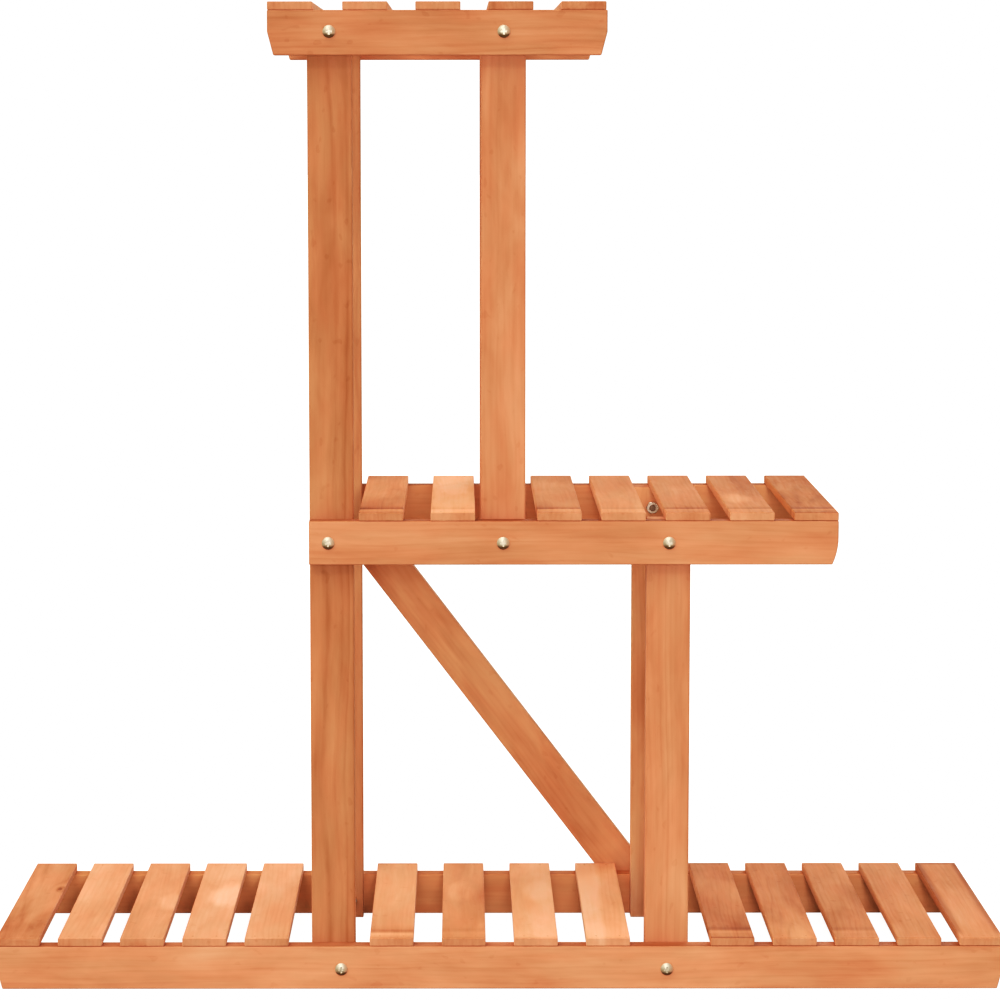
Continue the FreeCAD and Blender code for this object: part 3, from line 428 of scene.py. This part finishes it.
# slats, front to back grain; a runs from -125 at the front to +125 at the rear
S = "slat_fir"
BOTTOM = [
    dict(Seed=1.3, Pith=(0, 6, -30), Tilt=(0, 0.03, 0.05), Ring=5.0, Grain=0.58, Mottle=0.55, Tone=-0.296, Knot=(34, 15, 3.5), Knot_radius=6.0),
    dict(Seed=2.9, Pith=(0, -70, 10), Tilt=(0, 0.04, 0), Ring=4.8, Grain=0.36, Mottle=0.45, Tone=-0.005),
    dict(Seed=6.1, Pith=(0, 60, 30), Tilt=(0, -0.03, 0), Ring=4.4, Grain=0.36, Mottle=0.55, Tone=-0.106, Patch=(-10, 14, 12), Pale=0.14),
    dict(Seed=7.7, Pith=(0, -66, 25), Tilt=(0, 0.02, 0), Ring=4.5, Grain=0.29, Mottle=0.55, Tone=0.009, Patch=(15, 9, 17), Pale=0.22),
    dict(Seed=9.4, Pith=(0, -50, 22), Tilt=(0, -0.02, 0), Ring=4.4, Grain=0.50, Mottle=0.40, Tone=0.037),
    # The raised Tone of slats 6 to 9, under the middle shelf, is partly painted light, offsetting the shade the shelf
    # casts on them.
    dict(Seed=12.6, Pith=(0, 95, 10), Tilt=(0, 0.0, 0), Ring=4.2, Grain=0.22, Mottle=0.30, Tone=0.075, Mark_at=-103.0, Mark=1.1, Tip=0.20),
    dict(Seed=14.8, Pith=(0, -10, -42), Tilt=(0, 0.0, 0.05), Ring=6.0, Grain=0.36, Mottle=0.45, Tone=-0.032, Mark_at=-100.0, Mark=0.3, Tip=0.12, Patch=(25, -2, 14), Pale=0.16),
    dict(Seed=17.0, Pith=(0, 8, 36), Tilt=(0, 0.0, 0.05), Ring=5.6, Grain=0.29, Mottle=0.55, Tone=0.201, Tip=0.16, Patch=(25, 3, 15), Pale=0.14),
    dict(Seed=19.5, Pith=(0, 60, 12), Tilt=(0, 0.01, 0), Ring=4.4, Grain=0.36, Mottle=0.50, Tone=0.172, Sap_edge=62.0, Sap=0.17, Tip=0.10),
    dict(Seed=21.7, Pith=(0, -55, 20), Tilt=(0, 0.03, 0), Ring=4.6, Grain=0.43, Mottle=0.60, Tone=-0.295, Mark_at=-97.0, Mark=0.8, Tip=0.25),
    dict(Seed=24.1, Pith=(0, 7, 24), Tilt=(0, 0.0, 0.05), Ring=4.8, Grain=0.43, Mottle=0.50, Tone=-0.222),
    dict(Seed=26.6, Pith=(0, -58, 16), Tilt=(0, 0.04, 0), Ring=4.6, Grain=0.43, Mottle=0.50, Tone=-0.316, Mark_at=-98.0, Mark=0.4),
    dict(Seed=29.2, Pith=(0, 72, 20), Tilt=(0, 0.0, 0), Ring=4.4, Grain=0.29, Mottle=0.40, Tone=-0.286),
    dict(Seed=31.0, Pith=(0, -80, 20), Tilt=(0, 0.0, 0), Ring=4.8, Grain=0.25, Mottle=0.35, Tone=-0.221, Rim=0.28),
]
MIDDLE = [
    dict(Seed=34.6, Pith=(0, 66, 12), Tilt=(0, 0, 0), Ring=4.4, Grain=0.36, Mottle=0.45, Tone=-0.102, Mark_at=-98.5, Mark=1.1, Tip=0.12),
    dict(Seed=36.2, Pith=(0, -60, 14), Tilt=(0, 0, 0), Ring=4.8, Grain=0.29, Mottle=0.45, Tone=0.288, Mark_at=-98.5, Mark=0.6, Tip=0.10, Rim=0.08, Patch=(20, 2, 13), Pale=0.16),
    dict(Seed=38.8, Pith=(0, -54, 18), Tilt=(0, 0.02, 0), Ring=4.6, Grain=0.29, Mottle=0.45, Tone=-0.128, Mark_at=-98.5, Mark=1.1, Tip=0.12),
    dict(Seed=40.3, Pith=(0, 64, 20), Tilt=(0, 0, 0), Ring=4.8, Grain=0.29, Mottle=0.40, Tone=-0.051, Mark_at=-98.5, Mark=0.5, Tip=0.10),
    dict(Seed=43.5, Pith=(0, -72, 10), Tilt=(0, 0, 0), Ring=4.4, Grain=0.29, Mottle=0.40, Tone=-0.263, Mark_at=-98.5, Mark=0.8),
    dict(Seed=45.9, Pith=(0, 58, 16), Tilt=(0, 0.03, 0), Ring=4.6, Grain=0.30, Mottle=0.32, Tone=-0.328, Sap_edge=60.0, Sap=0.10, Mark_at=-98.5, Mark=0.6, Patch=(-35, -6, 13), Pale=0.14),
    dict(Seed=48.4, Pith=(0, 10, 34), Tilt=(0, 0, 0.05), Ring=5.4, Grain=0.36, Mottle=0.50, Tone=-0.420, Mark_at=-98.5, Mark=0.8, Tip=0.12, Cast=(1.05, 0.98, 0.80)),
]
TOP = [
    dict(Seed=51.3, Pith=(0, 62, 10), Tilt=(0, 0, 0), Ring=4.4, Grain=0.36, Tone=0.00, End=0.01),
    dict(Seed=53.8, Pith=(0, -8, 30), Tilt=(0, 0, 0.05), Ring=5.0, Grain=0.43, Tone=0.03, End=-0.06),
    dict(Seed=55.1, Pith=(0, -70, 16), Tilt=(0, 0.02, 0), Ring=4.6, Grain=0.36, Tone=-0.02, End=0.10),
    dict(Seed=57.7, Pith=(0, 66, 20), Tilt=(0, 0, 0), Ring=4.2, Grain=0.36, Tone=-0.06, End=0.08),
    dict(Seed=59.9, Pith=(0, 12, -28), Tilt=(0, 0, -0.05), Ring=5.2, Grain=0.43, Tone=-0.08, End=0.16, Knot=(-40, -6, 3.5), Knot_radius=7.0),
]
# Side lightens the slats' flanks: painted light.
for i, kw in enumerate(BOTTOM):
    board("bottom_slat_%02d" % (i + 1), S, Y, X, Z, Side=-0.42, Cast=(0.985, 1.0, 1.01) if i < 5 else (1.02, 1.0, 0.95) if i < 9 else (1.04, 1.0, 0.90), **kw)
for i, kw in enumerate(MIDDLE):
    board("middle_slat_%d" % (i + 1), S, Y, X, Z, Side=-0.42, **{"Cast": (1.045, 1.0, 0.92), **kw})
for i, kw in enumerate(TOP):
    board("top_slat_%d" % (i + 1), S, Y, X, Z, Side=-0.32, **kw)


# -------------------------------------------------------------- zinc hardware
def zinc_material(name, bright, warm, left_reflection_tint, low, rough_low, rough_high, metal, hole_shade):
    """Yellowish zinc, cream above, with painted light by the way each face turns: a painted warm reflection to the
    right, a painted greenish reflection to the left, painted brown shade below.
    """
    m = bpy.data.materials.new(name)
    m.use_nodes = True
    t = m.node_tree
    t.nodes.clear()
    T = Tree(t)
    out = T.add("ShaderNodeOutputMaterial")
    bsdf = T.add("ShaderNodeBsdfPrincipled")
    coord = T.add("ShaderNodeTexCoord").outputs
    mm = T.vec("SCALE", coord["Object"], scale=1000.0)
    cloud = T.noise(mm, 3.1, scale=0.42, detail=2.0)
    speck = T.noise(mm, 8.2, scale=2.2, detail=2.0)
    turn = T.noise(T.vec("MULTIPLY", mm, (4.0, 1.2, 4.0)), 1.7, scale=1.0, detail=2.0)
    nx, ny, nz = T.split(coord["Normal"])
    wob = T.math("MULTIPLY", T.math("SUBTRACT", cloud, 0.5), 0.5)
    # painted light by the way each face turns: a warm painted reflection on faces turned right, a greenish one on faces
    # turned left, painted brown shade on faces turned down
    col = T.mix(T.span(T.math("ADD", nx, wob), 0.10, 0.55), bright, warm)
    col = T.mix(T.span(T.math("ADD", nx, wob), -0.10, -0.50), col, left_reflection_tint)
    col = T.mix(T.span(T.math("ADD", nz, T.math("MULTIPLY", wob, 0.6)), -0.12, -0.48), col, low)
    col = T.mix(T.math("MULTIPLY", T.span(speck, 0.60, 0.75), 0.30), col, (low[0] * 1.5, low[1] * 1.4, low[2] * 1.3, 1))
    # the shank's cut end inside the nut is dull steel, painted darker still: painted shade of the nut's hole
    depth = T.math("ABSOLUTE", T.math("ADD", T.split(mm)[1], 7.0))
    col = T.mix(T.math("MULTIPLY", T.span(depth, 93.0, 92.0), hole_shade), col, (0.26, 0.17, 0.12, 1))
    T.put(bsdf.inputs["Base Color"], col)
    T.put(bsdf.inputs["Roughness"], T.span(T.math("ADD", T.math("MULTIPLY", cloud, 0.6), T.math("MULTIPLY", turn, 0.4)),
                                           0.3, 0.7, rough_low, rough_high))
    bsdf.inputs["Metallic"].default_value = metal
    bump = T.add("ShaderNodeBump")
    bump.inputs["Strength"].default_value = 0.30
    bump.inputs["Distance"].default_value = 0.00004
    T.put(bump.inputs["Height"], T.math("ADD", turn, T.math("MULTIPLY", speck, 0.6)))
    T.put(bsdf.inputs["Normal"], bump.outputs["Normal"])
    T.put(out.inputs["Surface"], bsdf.outputs["BSDF"])
    return m


BOLT = zinc_material("zinc_bolt", (0.62, 0.54, 0.42, 1), (0.74, 0.50, 0.37, 1), (0.48, 0.41, 0.29, 1), (0.20, 0.12, 0.06, 1), 0.42, 0.52, 0.72, 1.0)
NUT = zinc_material("zinc_nut", (0.76, 0.68, 0.57, 1), (0.80, 0.66, 0.52, 1), (0.46, 0.40, 0.32, 1), (0.14, 0.09, 0.05, 1), 0.22, 0.34, 1.0, 0.0)
for n, o in NODES.items():
    if n.endswith("_bolts"):
        o.data.materials.clear()
        o.data.materials.append(BOLT)
    elif n.endswith("_nuts"):
        o.data.materials.clear()
        o.data.materials.append(NUT)


# Pin heads: sunk flush and stained over with the wood.
def pin_material():
    m = bpy.data.materials.new("stained_pin")
    m.use_nodes = True
    t = m.node_tree
    t.nodes.clear()
    T = Tree(t)
    out = T.add("ShaderNodeOutputMaterial")
    bsdf = T.add("ShaderNodeBsdfPrincipled")
    coord = T.add("ShaderNodeTexCoord").outputs
    mm = T.vec("SCALE", coord["Object"], scale=1000.0)
    n = T.noise(mm, 2.2, scale=0.9, detail=2.0)
    T.put(bsdf.inputs["Base Color"], T.mix(T.span(n, 0.3, 0.7), (0.50, 0.18, 0.078, 1), (0.38, 0.125, 0.050, 1)))
    T.put(bsdf.inputs["Roughness"], T.span(n, 0.3, 0.7, 0.50, 0.70))
    bsdf.inputs["Specular IOR Level"].default_value = 0.10
    bump = T.add("ShaderNodeBump")
    bump.inputs["Strength"].default_value = 0.3
    bump.inputs["Distance"].default_value = 0.00005
    T.put(bump.inputs["Height"], n)
    T.put(bsdf.inputs["Normal"], bump.outputs["Normal"])
    T.put(out.inputs["Surface"], bsdf.outputs["BSDF"])
    return m


PIN = pin_material()
for n, o in NODES.items():
    if n.endswith("_pins"):
        o.data.materials.clear()
        o.data.materials.append(PIN)


# ---------------------------------------------------------------------- studio
# A wide white sweep. It looks white from the camera, and gives back only part of
# the light to the stand, as a sheet lying some way below a product would.
def make_floor():
    me = bpy.data.meshes.new("floor")
    w = 30.0
    me.from_pydata([(-w, -w, 0), (w, -w, 0), (w, w, 0), (-w, w, 0)], [], [(0, 1, 2, 3)])
    floor = bpy.data.objects.new("floor", me)
    floor.location.z = -0.0002
    scene.collection.objects.link(floor)
    m = bpy.data.materials.new("pale_floor")
    m.use_nodes = True
    t = m.node_tree
    t.nodes.clear()
    T = Tree(t)
    out = T.add("ShaderNodeOutputMaterial")
    path = T.add("ShaderNodeLightPath")
    plain = T.add("ShaderNodeBsdfDiffuse")
    plain.inputs["Color"].default_value = (0.45, 0.44, 0.38, 1)
    dull = T.add("ShaderNodeBsdfDiffuse")
    dull.inputs["Color"].default_value = (0.34, 0.30, 0.25, 1)
    lit = T.add("ShaderNodeMixShader")
    t.links.new(path.outputs["Is Glossy Ray"], lit.inputs[0])
    t.links.new(plain.outputs[0], lit.inputs[1])
    t.links.new(dull.outputs[0], lit.inputs[2])
    seen = T.add("ShaderNodeBsdfDiffuse")
    seen.inputs["Color"].default_value = (0.36, 0.36, 0.36, 1)
    glow = T.add("ShaderNodeEmission")
    glow.inputs["Strength"].default_value = 0.92
    both = T.add("ShaderNodeAddShader")
    pick = T.add("ShaderNodeMixShader")
    t.links.new(seen.outputs[0], both.inputs[0])
    t.links.new(glow.outputs[0], both.inputs[1])
    t.links.new(path.outputs["Is Camera Ray"], pick.inputs[0])
    t.links.new(lit.outputs[0], pick.inputs[1])
    t.links.new(both.outputs[0], pick.inputs[2])
    t.links.new(pick.outputs[0], out.inputs["Surface"])
    me.materials.append(m)
    return floor


make_floor()


def area_light(name, at, aim, size, power, colour=(1, 1, 1), size_y=None):
    d = bpy.data.lights.new(name, "AREA")
    d.shape = "RECTANGLE"
    d.size, d.size_y = size, size_y or size
    d.energy = power
    d.color = colour
    o = bpy.data.objects.new(name, d)
    o.location = at
    o.rotation_mode = "QUATERNION"
    o.rotation_quaternion = (Vector(aim) - Vector(at)).to_track_quat("-Z", "Y")
    o.visible_camera = False
    scene.collection.objects.link(o)
    return o


def far_light(name, towards, strength, angle, colour=(1, 1, 1)):
    """A soft source a long way off, in the given direction from the stand."""
    d = bpy.data.lights.new(name, "SUN")
    d.energy = strength
    d.angle = math.radians(angle)
    d.color = colour
    o = bpy.data.objects.new(name, d)
    o.rotation_mode = "QUATERNION"
    o.rotation_quaternion = Vector(towards).to_track_quat("Z", "Y")
    o.location = Vector(towards) * 3
    scene.collection.objects.link(o)
    return o


far_light("key", (-0.16, -1.0, 0.77), 0.48, 12.0)
far_light("top", (-0.34, -0.27, 1.0), 1.70, 55.0, (1.0, 0.975, 0.93))
far_light("left", (-1.0, -0.42, 0.50), 0.62, 60.0)
far_light("back", (0.45, 0.90, 0.55), 1.20, 35.0)
area_light("front", (0.10, -2.62, 0.74), (0.0, 0.0, 0.40), 0.34, 24.0)


def make_world():
    world = bpy.data.worlds.new("studio")
    world.use_nodes = True
    t = world.node_tree
    t.nodes.clear()
    T = Tree(t)
    out = T.add("ShaderNodeOutputWorld")
    path = T.add("ShaderNodeLightPath")
    light = T.add("ShaderNodeBackground")
    light.inputs["Color"].default_value = (1.0, 1.0, 0.82, 1)
    light.inputs["Strength"].default_value = 0.46
    seen = T.add("ShaderNodeBackground")
    seen.inputs["Strength"].default_value = 1.40
    pick = T.add("ShaderNodeMixShader")
    t.links.new(path.outputs["Is Camera Ray"], pick.inputs[0])
    t.links.new(light.outputs[0], pick.inputs[1])
    t.links.new(seen.outputs[0], pick.inputs[2])
    t.links.new(pick.outputs[0], out.inputs["Surface"])
    scene.world = world


make_world()


# Tone: a gentle contrast curve, as on developed studio pictures.
def make_tone():
    vs = scene.view_settings
    vs.view_transform = "Standard"
    vs.look = "None"
    vs.exposure = 0.0
    vs.gamma = 1.0
    vs.use_curve_mapping = True
    cm = vs.curve_mapping
    cm.extend = "HORIZONTAL"
    c = cm.curves[3]
    pts = [(0.0, 0.0), (0.04, 0.018), (0.08, 0.047), (0.16, 0.128), (0.281, 0.292), (0.45, 0.50), (0.703, 0.753), (1.0, 1.0)]
    c.points[0].location = pts[0]
    c.points[-1].location = pts[-1]
    for p in pts[1:-1]:
        c.points.new(*p)
    cm.update()


make_tone()
